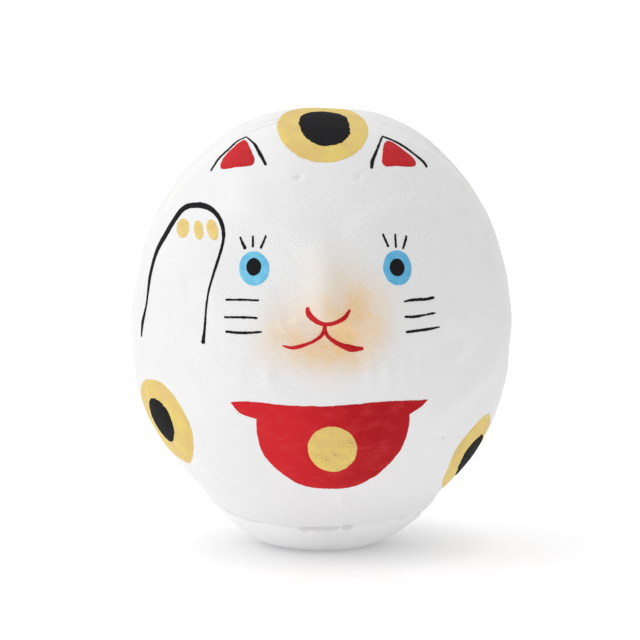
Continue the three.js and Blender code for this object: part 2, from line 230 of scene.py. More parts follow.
def settle(points):
    """Lifts the seam at the doll's sides, by moving points along the doll's outline."""
    r = np.maximum(np.hypot(points[:, 0], points[:, 1]), 1e-9)
    z = points[:, 2]
    side = (points[:, 0] / r) ** 2
    near = smoothstep(0, RIM_Z, z) * (1 - smoothstep(RIM_Z, SEAM_RISE_TOP, z))
    lifted = z + SEAM_RISE * side * near
    wider = np.interp(lifted, OUTLINE_Z, OUTLINE_R) - np.interp(z, OUTLINE_Z, OUTLINE_R)
    return np.column_stack([points[:, :2] * (1 + wider / r)[:, None], lifted])


def skin_normals(points):
    """Outward normals of the smooth body at points of it."""
    across = np.interp(points[:, 2], SIDE_Z, SIDE_NORMAL[:, 0])
    up = np.interp(points[:, 2], SIDE_Z, SIDE_NORMAL[:, 1])
    flat = unit(points[:, :2])
    return unit(np.column_stack([flat * across[:, None], up]))


def outside(points):
    """Above 0 outside the smooth body, and below 0 in it."""
    r = np.hypot(points[:, 0], points[:, 1])
    z = points[:, 2]
    above = np.clip((z - WAIST_Z) / (HEIGHT - WAIST_Z), 0, None)
    below = np.clip((WAIST_Z - z) / (WAIST_Z - RIM_Z), 0, None)
    flare = np.clip((r - RIM_R) / (WAIST_R - RIM_R), 0, None)
    crown = above**CROWN_ALONG + (r / WAIST_R) ** CROWN_ACROSS
    skirt = below**SKIRT_ALONG + flare**SKIRT_ACROSS
    return np.where(z >= WAIST_Z, crown, skirt) - 1


def meet_body(start, direction, reach):
    """Where lines from outside the body first come to its skin."""
    near = np.zeros(len(start))
    far = np.full(len(start), float(reach))
    halvings = 40
    for _ in range(halvings):
        middle = (near + far) / 2
        out = outside(start + direction * middle[:, None]) > 0
        near = np.where(out, middle, near)
        far = np.where(out, far, middle)
    return start + direction * near[:, None]


def joint_y(z):
    """Where the joint's plane is at that height."""
    return JOINT_TOP_Y + (HEIGHT - z) * math.tan(JOINT_LEAN)


# ---- the moulded relief, as lines of (x, z, rise) on the front, each with its width

BIG_LUMPS, SMALL_LUMPS = 0.28, 0.11  # the heights of the lumps in the skin
FOLD_DEPTH = 2.6  # where a fold's rise is 1
FRONT_FADE = (2, 14)  # the folds begin, and are full, this far in front of the doll's axis
FACE_FOLDS = [
    # nose bridge and the two sides of the nose
    (4.6, [(0.2, 91, 0), (0.4, 84, 0.12), (0.7, 77, 0.35), (0.9, 70, 0.7), (1, 64, 0.95),
           (1, 60, 0)]),
    (2.2, [(-5.6, 63.4, 0.1), (-5.2, 61.6, 0.35), (-3.6, 59.8, 0.2)]),
    (2.2, [(7.6, 63.4, 0.1), (7.2, 61.6, 0.35), (5.6, 59.8, 0.2)]),
    (0.8, [(-9.8, 62.6, 0.05), (-8.6, 60.6, 0.25), (-6, 61.8, 0.1)]),
    (1.1, [(-9.2, 80.4, -0.02), (-7.4, 78.4, -0.1), (-5, 76, -0.02)]),
    # eye hollows, brows and cheeks
    (7, [(-18, 74.5, -0.2), (-14, 75.5, -0.2)]),
    (7, [(17, 75.5, -0.2), (21, 74.5, -0.2)]),
    (3.2, [(-27, 84, 0), (-18, 87.5, 0.3), (-8, 84.5, 0.2), (-4, 80, 0)]),
    (3.2, [(5, 80, 0), (10, 84.5, 0.25), (20, 87.5, 0.3), (29, 84, 0)]),
    (9, [(-18, 61, 0.3), (-15, 58, 0.3)]),
    (9, [(18, 59, 0.35), (21, 61, 0.3)]),
    (6, [(-3, 51.5, 0.3), (5, 51.5, 0.3)]),
    # the rim around the face
    (2.6, [(28, 99, 0), (33, 94, 0.22), (39.5, 83, 0.3), (43.5, 70, 0.32), (44.5, 57, 0.3),
           (40, 46.5, 0.2), (31, 39.5, 0.12), (24, 36.5, 0)]),
    (2.6, [(-28, 99, 0), (-33, 94, 0.12), (-40, 82, 0.16), (-44, 69, 0.16), (-44.5, 57, 0.16),
           (-39, 46.5, 0.12), (-30, 39, 0)]),
    (2, [(27, 67, 0), (32.5, 61, 0.25), (35.4, 56, 0.3), (33, 52.5, 0.2), (30, 51, 0)]),
    # folds of the beard
    (1.3, [(11, 55, 0), (11.4, 50, 0.24), (11, 45, 0)]),
    (1.2, [(15.4, 54, 0), (15.6, 49.5, 0.26), (15, 44, 0)]),
    (1.2, [(19.6, 54, 0), (19.6, 49.5, 0.22), (19, 44.5, 0)]),
    (1.3, [(24, 53, 0), (24, 48.5, 0.16), (23, 44.5, 0)]),
    (1.4, [(-12, 54, 0), (-12.4, 49, 0.15), (-12, 44.5, 0)]),
    (1.4, [(-19, 54, 0), (-19.4, 49, 0.12), (-19, 44.5, 0)]),
    # small marks: two nicks on the paw, pinholes, and a drip above the foot
    (0.8, [(-33.2, 72, 0), (-32.3, 69.5, -0.12), (-31.6, 67.5, 0)]),
    (0.8, [(-32.4, 65.5, 0), (-31.8, 63.8, -0.1), (-31.2, 62, 0)]),
    (0.6, [(-5.7, 95.5, -0.2), (-5.2, 95.5, -0.2)]),
    (0.6, [(8.7, 95.5, -0.16), (9.2, 95.5, -0.16)]),
    (0.35, [(29.8, 31.9, -0.2), (30, 31.9, -0.2)]),
    (0.7, [(5.6, 18.4, 0.1), (4.7, 16.8, 0.3), (5.2, 15.2, 0.35), (6.6, 14.4, 0.15)]),
    (1.7, [(6.5, 17.2, 0.16), (6.7, 16.2, 0.16)]),
]


def relief(points):
    """How far the moulded skin stands off the smooth body, in mm, at points of the body."""
    flat = points[:, [0, 2]]
    facing = smoothstep(*FRONT_FADE, -points[:, 1])
    height = BIG_LUMPS * lumps(points, size=13, seed=11)
    height += SMALL_LUMPS * lumps(points, size=5, seed=12)
    for width, line in FACE_FOLDS:
        distance, rise = along_line(flat, rounded(line))
        height += FOLD_DEPTH * facing * rise * np.exp(-((distance / width) ** 2))
    return height


def strip_relief(points):
    """How far the strip over the joint stands off the skin."""
    off = np.abs((points[:, 1] - joint_y(points[:, 2])) * math.cos(JOINT_LEAN))
    edge = STRIP_HALF_WIDTH + STRIP_WANDER * lumps(points, size=3, seed=21)
    ridge = np.exp(-(((off - edge + STRIP_EDGE_WIDTH) / STRIP_EDGE_WIDTH) ** 2))
    inside = 1 - smoothstep(-STRIP_EDGE_WIDTH, STRIP_EDGE_WIDTH, off - edge)
    loose = np.exp(-(((points[:, 0] - LOOSE_EDGE_X) / LOOSE_EDGE_SPAN) ** 2))
    height = STRIP_EDGE_HEIGHT + LOOSE_EDGE_HEIGHT * loose * (points[:, 2] > WAIST_Z)
    return STRIP_HEIGHT * inside + height * ridge


# how the two sets of wires of the mould's screen lean, bend and fan out from the middle
WIRE_UP, WIRE_ACROSS, WIRE_BEND, WIRE_FAN = 0.9, -0.38, -0.00016, -0.006
CROSS_UP, CROSS_ACROSS, CROSS_FAN = 0.4, 0.9, 0.004


def screen_print(points, front):
    """Where each point lies on the two sets of wires of the mould's screen, in mm."""
    centre = np.array([0, 0, WAIST_Z])
    away = unit(points - centre)
    ahead = -away[:, 1] if front else away[:, 1]
    reach = np.arccos(np.clip(ahead, -1, 1)) * WAIST_R
    flat = unit(away[:, [0, 2]]) * reach[:, None]
    x, up = flat[:, 0], flat[:, 1]
    wire = WIRE_UP * up + WIRE_ACROSS * x + WIRE_BEND * x**3 + WIRE_FAN * x * up
    cross = CROSS_ACROSS * x + CROSS_UP * up + CROSS_FAN * x * up
    return np.column_stack([wire, cross, np.zeros(len(points))])


# ---- meshes

MERGE_DISTANCE = 1e-6  # in metres


def mesh_object(name, points, faces, screen=None, brush=None, sharp=40):
    """A piece from points in millimetres; faces are made to look outwards. screen and brush
    are three numbers at each point for its material, and sharp is in degrees."""
    mesh = bpy.data.meshes.new(name)
    mesh.from_pydata((np.asarray(points) * MM).tolist(), [], [list(face) for face in faces])
    for label, values in (("screen", screen), ("brush", brush)):
        if values is not None:
            layer = mesh.attributes.new(label, "FLOAT_VECTOR", "POINT")
            layer.data.foreach_set("vector", np.asarray(values, np.float32).ravel())
    shape = bmesh.new()
    shape.from_mesh(mesh)
    bmesh.ops.remove_doubles(shape, verts=shape.verts, dist=MERGE_DISTANCE)
    bmesh.ops.recalc_face_normals(shape, faces=shape.faces)
    shape.to_mesh(mesh)
    shape.free()
    mesh.shade_smooth()
    mesh.set_sharp_from_angle(angle=math.radians(sharp))
    piece = bpy.data.objects.new(name, mesh)
    bpy.context.scene.collection.objects.link(piece)
    return piece


def dress(piece, material, slot, *replaced):
    """Gives a piece its material, hangs it on the root and hides the CAD parts it replaces."""
    piece.data.materials.append(material)
    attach(piece, "root")
    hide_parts(*replaced)


def grid_faces(ids):
    """Quads between the rows and columns of a grid of point numbers."""
    corners = (ids[:-1, :-1], ids[:-1, 1:], ids[1:, 1:], ids[1:, :-1])
    return np.stack([c.ravel() for c in corners], axis=1).tolist()


def stitch(fine, coarse):
    """Faces between an edge of point numbers and one with half as many spans."""
    faces = []
    for i in range(len(coarse) - 1):
        first, middle, last = fine[2 * i : 2 * i + 3]
        faces.append([first, middle, coarse[i]])
        faces.append([middle, last, coarse[i + 1]])
        faces.append([middle, coarse[i + 1], coarse[i]])
    return faces


def side_at(length, inset):
    """Radius and height on the side's profile, moved inwards by inset."""
    r, z = (np.interp(length, SIDE_LENGTH, values) for values in (SIDE_R, SIDE_Z))
    across, up = (np.interp(length, SIDE_LENGTH, SIDE_NORMAL[:, i]) for i in (0, 1))
    return np.maximum(r - across * inset, 0), z - up * inset


def shell_edge(z, front):
    """Where a half shell ends at the joint, at that height."""
    return joint_y(z) + (-JOINT_GAP if front else JOINT_GAP) / 2


def shell_sheet(front, inset, rows, top_rows, columns):
    """One skin of a half shell as a grid of points. Its first rows end at the joint on both
    sides. The back has top_rows more, which go all round, up to the crown."""
    samples = 6000
    lengths = np.linspace(0, SIDE_LENGTH[-1], samples)
    r, z = side_at(lengths, inset)
    closing = lengths[np.nonzero(r + shell_edge(z, front) > 0)[0][-1]]
    levels = np.linspace(0, closing, rows + 1)
    if not front:
        levels = np.append(levels, np.linspace(closing, SIDE_LENGTH[-1], top_rows + 1)[1:])
    r, z = side_at(levels, inset)
    reach = np.arccos(np.clip(-shell_edge(z, front) / np.maximum(r, 1e-9), -1, 1))
    reach[rows:] = 0
    spread = np.linspace(-1, 1, columns + 1)
    if front:
        angle = reach[:, None] * spread
    else:
        angle = math.pi + (math.pi - reach)[:, None] * spread
    x = r[:, None] * np.sin(angle)
    y = -r[:, None] * np.cos(angle)
    return np.stack([x, y, np.broadcast_to(z[:, None], x.shape)], axis=2)


def bump_between(angle, start, end):
    """1 between two angles, given in degrees, with soft ends."""
    start, end, soft = (math.radians(v) for v in (start, end, SOFT_DEGREES))
    rising = smoothstep(start - soft, start + soft, angle)
    return rising * (1 - smoothstep(end - soft, end + soft, angle))


def angle_right(points):
    """How far each point is to the right of the doll's front, in radians."""
    return np.arctan2(points[:, 0], -points[:, 1])


def on_rim(points):
    """The flat place on the seam's circle that is nearest to each point."""
    return unit(points[:, :2]) * RIM_R


def seam_wear(points):
    """How far the seam above the foot has cracked open, from 0 to 1, near each point."""
    angle = angle_right(points)
    worn = sum(share * bump_between(angle, start, end) for start, end, share in CRACKS)
    return np.clip(worn * (0.75 + 0.45 * lumps(on_rim(points), size=1.6, seed=31)), 0, 1)


def ragged_rim(points):
    """Lifts and roughens the shell's rim a little, mostly where the seam has cracked."""
    ring = on_rim(points)
    lift = RIM_ROUGHNESS * lumps(ring, size=2.5, seed=32)
    lift += RIM_ROUGHNESS * seam_wear(points) * (1 + lumps(ring, size=0.8, seed=33))
    fade = 1 - smoothstep(0, RIM_ROUGH_HEIGHT, points[:, 2] - RIM_Z)
    return points + np.column_stack([np.zeros((len(points), 2)), lift * fade])


def half_shell(name, front, material):
    """A closed half shell: a fine outer skin with the relief, and a coarser inner skin that
    only follows its hollows."""
    rows, top_rows, columns = FRONT_GRID if front else BACK_GRID
    outer = shell_sheet(front, 0, rows, top_rows, columns)
    inner = shell_sheet(front, WALL, rows // 2, top_rows // 2, columns // 2)
    base = settle(ragged_rim(outer.reshape(-1, 3)))
    skin = base + skin_normals(base) * relief(base)[:, None]
    lining = settle(ragged_rim(inner.reshape(-1, 3)))
    free = smoothstep(PLUG_TOP, LINING_FREE_Z, lining[:, 2])
    hollows = np.minimum(relief(lining), 0) * free
    points = np.vstack([skin, lining + skin_normals(lining) * hollows[:, None]])
    screen = screen_print(np.vstack([base, lining]), front)
    fine = np.arange(len(base)).reshape(outer.shape[:2])
    coarse = len(base) + np.arange(len(lining)).reshape(inner.shape[:2])
    joint, inner_joint = slice(0, rows + 1), slice(0, rows // 2 + 1)
    faces = grid_faces(fine) + grid_faces(coarse) + stitch(fine[0], coarse[0])
    for side in (0, -1):
        faces += stitch(fine[joint, side], coarse[inner_joint, side])
    piece = mesh_object(name + "_skin", points, faces, screen=screen)
    dress(piece, material, "chalk_white_pulp", name)


def joint_line(count):
    """Points of the body along the joint, from the right of the rim over to the left."""
    lengths = np.linspace(0, SIDE_LENGTH[-1], JOINT_SAMPLES)
    r, z = side_at(lengths, 0)
    edge = joint_y(z)
    on_joint = r + edge > 0
    x = np.sqrt(np.maximum(r**2 - edge**2, 0))[on_joint]
    right = np.column_stack([x, edge[on_joint], z[on_joint]])
    line = np.vstack([right, (right * [-1, 1, 1])[::-1]])
    steps = np.linalg.norm(np.diff(line, axis=0), axis=1)
    length = np.concatenate([[0], np.cumsum(steps)])
    at = np.linspace(0, length[-1], count)
    return np.column_stack([np.interp(at, length, line[:, i]) for i in range(3)])


def strip_base():
    """Points of the skin in rows across the joint, as wide as the strip and its margins."""
    line = joint_line(STRIP_ROWS)
    offsets = np.linspace(-1, 1, STRIP_COLUMNS) * (STRIP_HALF_WIDTH + STRIP_MARGIN)
    centre = np.array([0, joint_y(WAIST_Z), WAIST_Z])
    aims = line[:, None, :] + offsets[:, None] * JOINT_NORMAL
    rays = unit(aims - centre).reshape(-1, 3)
    start = centre + rays * 2 * WAIST_R
    base = meet_body(start, -rays, 2 * WAIST_R)
    base[:, 2] = np.maximum(base[:, 2], RIM_Z)
    skin_r = np.interp(base[:, 2], SIDE_Z, SIDE_R)
    fuller = np.clip(skin_r - np.hypot(*base[:, :2].T), 0, None)
    low = base[:, 2] < FULLER_TOP
    base[:, :2] += unit(base[:, :2]) * (fuller * low)[:, None]
    return settle(ragged_rim(base))


def seam_strip(material):
    """The strip of paper over the joint, a closed band."""
    base = strip_base()
    normals, ground = skin_normals(base), relief(base)
    top = base + normals * (ground + strip_relief(base))[:, None]
    under = base + normals * (ground - COAT_ROOT)[:, None]
    ids = np.arange(len(base)).reshape(STRIP_ROWS, STRIP_COLUMNS)
    lower = ids + len(base)
    faces = grid_faces(ids) + grid_faces(lower)
    for edge in (np.s_[0, :], np.s_[-1, :], np.s_[:, 0], np.s_[:, -1]):
        faces += grid_faces(np.stack([ids[edge], lower[edge]]))
    screen = screen_print(np.vstack([base, base]), True)
    points = np.vstack([top, under])
    piece = mesh_object("seam_strip_paper", points, faces, screen=screen)
    dress(piece, material, "washi_paper", "seam_strip")


def turned(profile, turns=TURNS):
    """Points and faces of a closed profile of (radius, height) turned about the Z axis. It
    starts and ends on the axis, or comes back to its start."""
    profile = np.array(profile, float)
    angle = np.arange(turns + 1) / turns * 2 * math.pi
    x = profile[:, 0] * np.sin(angle)[:, None]
    y = -profile[:, 0] * np.cos(angle)[:, None]
    z = np.broadcast_to(profile[:, 1], x.shape)
    points = np.stack([x, y, z], axis=2)
    ids = np.arange(points[..., 0].size).reshape(x.shape)
    return points, grid_faces(ids)


def bowl_profile():
    """The bowl's outline as (radius, height), and for each point whether it is on the outer
    side, as 1 or 0."""
    flat = [(r, 0) for r in np.linspace(0, FOOT_R, 14)[:-1]]
    side = list(zip(FOOT_SIDE_R, FOOT_SIDE_Z))
    plug = [
        (RIM_R - LEDGE_IN, SHOULDER_Z + LEDGE_RISE),
        (PLUG_OUTER_R, SHOULDER_Z + LEDGE_RISE),
        (PLUG_OUTER_R, PLUG_TOP),
        (PLUG_INNER_R, PLUG_TOP),
        (PLUG_INNER_R, BOWL_CORNER_Z),
        (BOWL_FLOOR_R, BOWL_FLOOR_Z),
        (0, BOWL_FLOOR_Z),
    ]
    shown = [0.0] * len(flat) + [1.0] * len(side) + [0.0] * len(plug)
    return flat + side + plug, shown


def base_bowl(material):
    """The smooth foot with its plug, slightly uneven like hand-finished pulp."""
    profile, shown = bowl_profile()
    points, faces = turned(profile)
    shown = np.broadcast_to(shown, points.shape[:2]).ravel()
    unsettled = points.reshape(-1, 3)
    base = settle(unsettled)
    share = shown * smoothstep(0, 3, base[:, 2])
    uneven = share * (relief(base) + FOOT_LUMPS * lumps(base, size=3, seed=42))
    base = base + skin_normals(base) * uneven[:, None]
    flaked = seam_wear(base) * (1 - smoothstep(*FLAKED_BAND, SHOULDER_Z - unsettled[:, 2]))
    wear = np.column_stack([flaked, np.zeros((len(base), 2))])
    piece = mesh_object("base_bowl_foot", base, faces, brush=wear)
    dress(piece, material, "foot_white", "base_bowl")


def bead_profile():
    """The closed outline of the bead in the seam, as (radius, height)."""
    rounds = np.linspace(-1, 1, 9)
    outer_r = RIM_R + RIM_FULLER + BEAD_PROUD - BEAD_ROUNDING * abs(rounds) ** 3
    height = SEAM_HEIGHT + 2 * BEAD_OVERLAP
    z = SHOULDER_Z - BEAD_OVERLAP + height * (rounds + 1) / 2
    bottom, top = ((RIM_R - WALL, level) for level in (z[0], z[-1]))
    return [bottom, *zip(outer_r, z), top, bottom]


def glue_seam(material):
    """The glue and paint that fill the seam above the foot, broken away where it cracked."""
    points, faces = turned(bead_profile(), SEAM_TURNS)
    base = settle(points.reshape(-1, 3))
    squeezed = SQUEEZED_HEIGHT * bump_between(angle_right(base), *SQUEEZED_OUT)
    squeezed = squeezed * (1 + 0.3 * lumps(on_rim(base), size=2, seed=43))
    worn = seam_wear(base) * (1 + 0.3 * lumps(base, size=0.9, seed=44))
    broken = smoothstep(0.3, 0.7, worn)
    outer = np.hypot(base[:, 0], base[:, 1]) > RIM_R - WALL / 2
    moved = outer * (relief(base) + squeezed - CRACK_DEPTH * broken)
    base = base + skin_normals(base) * moved[:, None]
    wear = np.column_stack([broken, np.zeros((len(base), 2))])
    piece = mesh_object("glue_seam_bead", base, faces, brush=wear)
    dress(piece, material, "dried_glue", "glue_seam")


# ---- coats of paint, cut to the outlines of the CAD coats


def longest_loop(edges):
    """The longest loop that these edges, as (start, end) pairs, make head to tail."""
    ahead = {}
    for start, end in sorted(edges):
        ahead.setdefault(start, []).append(end)
    longest = []
    while ahead:
        loop = [min(ahead)]
        while loop[-1] in ahead:
            start = loop[-1]
            loop.append(ahead[start].pop())
            if not ahead[start]:
                del ahead[start]
        longest = max(longest, loop[:-1], key=len)
    return longest


def coat_outline(node):
    """The edge of a CAD coat's outer face, dropped onto the smooth body as a closed loop of
    points, and the mean normal of the face."""
    mesh = frame["nodes"][node].data
    mesh.calc_loop_triangles()
    places = np.array([v.co for v in mesh.vertices]) / MM
    _, first, same = np.unique(places.round(3), axis=0, return_index=True, return_inverse=True)
    places, same = places[first], same.ravel()
    triangles = same[np.array([t.vertices for t in mesh.loop_triangles])]
    base = meet_body(places, -skin_normals(places), HIGHEST_COAT)
    heights = np.linalg.norm(places - base, axis=1)
    upper = heights > heights.max() - LEVEL_TOLERANCE
    triangles = triangles[upper[triangles].all(1)]
    edges = {(t[i], t[(i + 1) % 3]) for t in triangles.tolist() for i in range(3)}
    rim = [(start, end) for start, end in edges if (end, start) not in edges]
    loop = base[longest_loop(rim)]
    spaced = np.linalg.norm(loop - np.roll(loop, 1, 0), axis=1) > CLOSEST_CORNERS
    return loop[spaced], unit(skin_normals(base[triangles].mean(1)).mean(0))


def flat_axes(normal):
    """Right and up in the plane that faces along normal."""
    side = np.cross([0, 0, 1], normal)
    if np.linalg.norm(side) < 0.2 or abs(normal[2]) > 0.9:
        side = np.cross([0, 1, 0], normal)
    right = unit(side)
    return right, np.cross(normal, right)


def smooth_loop(loop, step, corner_degrees=38):
    """The loop with smooth sides and its sharp corners kept, in steps of about that length."""
    x, y = (np.roll(loop, -1, 0) - loop).T
    bearing = np.arctan2(y, x)
    turn = np.angle(np.exp(1j * (bearing - np.roll(bearing, 1))))
    corner = np.abs(turn) > math.radians(corner_degrees)
    made = []
    for i in range(len(loop)):
        j = (i + 1) % len(loop)
        b, c = loop[i], loop[j]
        a = 2 * b - c if corner[i] else loop[i - 1]
        d = 2 * c - b if corner[j] else loop[(j + 1) % len(loop)]
        made += list(curve_between(a, b, c, d, step))
    return np.array(made)


def curve_between(a, b, c, d, step):
    """Points from b to short of c on the centripetal Catmull-Rom curve through all four."""
    ab, bc, cd = (max(np.linalg.norm(q - p) ** 0.5, 1e-6) for p, q in ((a, b), (b, c), (c, d)))
    leave = ((b - a) / ab - (c - a) / (ab + bc) + (c - b) / bc) * bc
    arrive = ((c - b) / bc - (d - b) / (bc + cd) + (d - c) / cd) * bc
    count = max(1, round(np.linalg.norm(c - b) / step))
    t = (np.arange(count) / count)[:, None]
    return (
        (2 * t**3 - 3 * t**2 + 1) * b
        + (t**3 - 2 * t**2 + t) * leave
        + (3 * t**2 - 2 * t**3) * c
        + (t**3 - t**2) * arrive
    )


def brush_edge(loop, spread, amount, seed):
    """The loop, which goes round to the left, spread a little and with the small waver of a
    brushed edge."""
    tangent = unit(np.roll(loop, -1, 0) - np.roll(loop, 1, 0))
    outwards = tangent[:, ::-1] * [1, -1]
    waver = 0.6 * lumps(loop, size=1.4, seed=seed)
    waver += 0.6 * lumps(loop, size=0.45, seed=seed + 1)
    return loop + outwards * (spread + amount * waver)[:, None]


def inside_loop(points, loop):
    """Whether each flat point is inside the closed loop."""
    x, y = points[:, :1], points[:, 1:]
    x0, y0 = loop.T
    x1, y1 = np.roll(loop, -1, 0).T
    spans = (y0 > y) != (y1 > y)
    rise = np.where(y1 == y0, 1e-12, y1 - y0)
    left = x < x0 + (y - y0) / rise * (x1 - x0)
    return (spans & left).sum(1) % 2 == 1


def distance_to_loop(points, loop):
    closed = np.vstack([loop, loop[:1]])
    line = np.column_stack([closed, np.zeros(len(closed))])
    parts = np.array_split(points, max(1, len(points) // 400))
    return np.concatenate([along_line(part, line)[0] for part in parts])


def fill_loop(loop, step):
    """Points and triangles that fill a closed loop evenly."""
    low, high = loop.min(0), loop.max(0)
    spots = []
    for row, y in enumerate(np.arange(low[1], high[1], step * math.sqrt(3) / 2)):
        shift = (row % 2) * step / 2
        spots += [(x + shift, y) for x in np.arange(low[0], high[0], step)]
    spots = np.array(spots)
    spots = spots[inside_loop(spots, loop)]
    spots = spots[distance_to_loop(spots, loop) > CLEAR_OF_EDGE * step]
    points = [Vector(p) for p in np.vstack([loop, spots])]
    edge = [(i, (i + 1) % len(loop)) for i in range(len(loop))]
    only_inside, closest = 1, 1e-5
    made = geometry.delaunay_2d_cdt(points, edge, [], only_inside, closest)
    return np.array(made[0]), np.array(made[2])


def brush_manner(node):
    """The step of a coat's mesh, and the waver of its edge and its spread."""
    thin = any(word in node for word in THIN_STROKES)
    step = THIN_COAT_STEP if thin else COAT_STEP
    waver = RAGGED_WAVER if "spot_black" in node else THIN_WAVER if thin else WAVER
    spread = LASH_SPREAD if "lash" in node else WHISKER_SPREAD if "whisker" in node else 0
    return step, waver, spread


def film_faces(triangles, count):
    """Faces of a closed film from those of its top: the top, the root count points further
    on, and the wall between their edges."""
    root = [[corner + count for corner in reversed(triangle)] for triangle in triangles]
    sides = {(t[i], t[(i + 1) % 3]) for t in triangles for i in range(3)}
    rim = [(a, b) for a, b in sorted(sides) if (b, a) not in sides]
    return triangles + root + [(b, a, a + count, b + count) for a, b in rim]


def coat(node, slot, material, seed):
    """A film of paint with soft edges that follows the relief, in place of a CAD coat."""
    loop, normal = coat_outline(node)
    right, up = flat_axes(normal)
    flat = np.column_stack([loop @ right, loop @ up])
    soft = min(COAT_SOFT_EDGE, np.ptp(flat, axis=0).max() / 6)
    step, waver, spread = brush_manner(node)
    edge = brush_edge(smooth_loop(flat, step), spread, waver, seed)
    flat, triangles = fill_loop(edge, step)
    start = flat[:, :1] * right + flat[:, 1:] * up + FAR * normal
    base = meet_body(start, np.broadcast_to(-normal, start.shape), FAR)
    layer = COAT if node.endswith(PAINTED_OVER) else 0
    ground = relief(base) + strip_relief(base) + layer
    full = smoothstep(0, soft, distance_to_loop(flat, edge))
    rise = COAT_EDGE + (COAT - COAT_EDGE) * full
    top = base + skin_normals(base) * (ground + rise)[:, None]
    root = base + skin_normals(base) * (ground - COAT_ROOT)[:, None]
    strokes = flat - (edge.min(0) + edge.max(0)) / 2
    brush = np.column_stack([strokes, full])
    piece = mesh_object(
        node + "_paint",
        np.vstack([top, root]),
        film_faces(triangles.tolist(), len(base)),
        screen=screen_print(np.vstack([base, base]), True),
        brush=np.vstack([brush, brush]),
        sharp=70,
    )
    dress(piece, material, slot, node)


# ---- materials


class Shader:
    """A material with one Principled shader, and a short way to add nodes to it."""

    def __init__(self, name, roughness, specular=0.4):
        self.material = bpy.data.materials.new(name)
        self.material.use_nodes = True
        self.tree = self.material.node_tree
        self.principled = self.tree.nodes["Principled BSDF"]
        self.principled.inputs["Roughness"].default_value = roughness
        self.principled.inputs["Specular IOR Level"].default_value = specular

    def node(self, kind, inputs=None, **settings):
        made = self.tree.nodes.new("ShaderNode" + kind)
        for name, value in settings.items():
            setattr(made, name, value)
        for socket, value in (inputs or {}).items():
            self.feed(made.inputs[socket], value)
        return made

    def feed(self, socket, value):
        if isinstance(value, bpy.types.NodeSocket):
            self.tree.links.new(value, socket)
        else:
            socket.default_value = value

    def math(self, operation, *values, clamp=False):
        inputs = dict(enumerate(values))
        return self.node("Math", inputs, operation=operation, use_clamp=clamp).outputs[0]

    def vector(self, operation, a, b):
        made = self.node("VectorMath", {0: a, 1: b}, operation=operation)
        return made.outputs["Value" if operation == "LENGTH" else "Vector"]

    def attribute(self, name):
        return self.node("Attribute", attribute_name=name).outputs["Vector"]

    def first(self, vector):
        """The first of a vector's three numbers."""
        return self.node("SeparateXYZ", {0: vector}).outputs[0]

    def place(self):
        """The point on the object, in millimetres."""
        here = self.node("TexCoord").outputs["Object"]
        return self.vector("MULTIPLY", here, (1 / MM,) * 3)

    def noise(self, at, size, detail=3.0, distortion=0.0):
        """Noise whose features are about size of the coordinate's units."""
        inputs = {"Vector": at, "Scale": 1 / size, "Detail": detail, "Distortion": distortion}
        return self.node("TexNoise", inputs).outputs["Fac"]

    def between(self, value, low, high, to_low=0.0, to_high=1.0):
        """value's way from low to high, eased, as a number from to_low to to_high."""
        inputs = {0: value, 1: low, 2: high, 3: to_low, 4: to_high}
        return self.node("MapRange", inputs, interpolation_type="SMOOTHSTEP").outputs[0]

    def mix(self, share, a, b):
        made = self.node("Mix", data_type="RGBA")
        self.feed(made.inputs["Factor"], share)
        self.feed(made.inputs["A"], a)
        self.feed(made.inputs["B"], b)
        return made.outputs["Result"]

    def colour(self, value):
        self.feed(self.principled.inputs["Base Color"], value)

    def roughness(self, value):
        self.feed(self.principled.inputs["Roughness"], value)

    def bumps(self, *layers):
        """Bumps from (height from 0 to 1, rise in millimetres) pairs."""
        total = None
        for height, rise in layers:
            scaled = self.math("MULTIPLY", height, rise)
            total = scaled if total is None else self.math("ADD", total, scaled)
        bump = self.node("Bump", {"Height": total, "Distance": MM, "Strength": 1.0})
        self.feed(self.principled.inputs["Normal"], bump.outputs["Normal"])


def srgb(red, green, blue):
    """A colour for a socket, from its usual 0 to 255 values."""
    linear = [((c / 255 + 0.055) / 1.055) ** 2.4 for c in (red, green, blue)]
    return (*linear, 1.0)


WIRE_PITCH, CROSS_PITCH = 0.62, 0.8  # in millimetres


def wire_height(shader):
    """The print of the mould's wire screen: rows of dots, fainter in places."""
    at = shader.attribute("screen")
    axes = shader.node("SeparateXYZ", {0: at})
    waves = []
    for axis, pitch in ((0, WIRE_PITCH), (1, CROSS_PITCH)):
        turns = shader.math("MULTIPLY", axes.outputs[axis], 2 * math.pi / pitch)
        wave = shader.math("SINE", turns)
        waves.append(shader.math("MULTIPLY_ADD", wave, 0.5, 0.5))
    dots = shader.math("MULTIPLY", waves[0], shader.math("MULTIPLY_ADD", waves[1], 0.55, 0.45))
    patches = shader.between(shader.noise(at, 14, 1), 0.35, 0.62, 0.65, 1)
    return shader.math("MULTIPLY", dots, patches)


APRICOT_PATCHES = [
    # centre, radii, strength
    ((8.5, -47, 63.5), (13, 18, 15), 0.72),
    ((1, -48, 58.5), (20, 18, 14), 0.48),
    ((-9, -47, 56), (12, 18, 8), 0.28),
    ((-7, -47, 62.5), (12, 18, 11), 0.2),
    ((3, -48, 54), (14, 18, 8), 0.38),
    ((3, -46, 72), (14, 18, 12), 0.2),
]


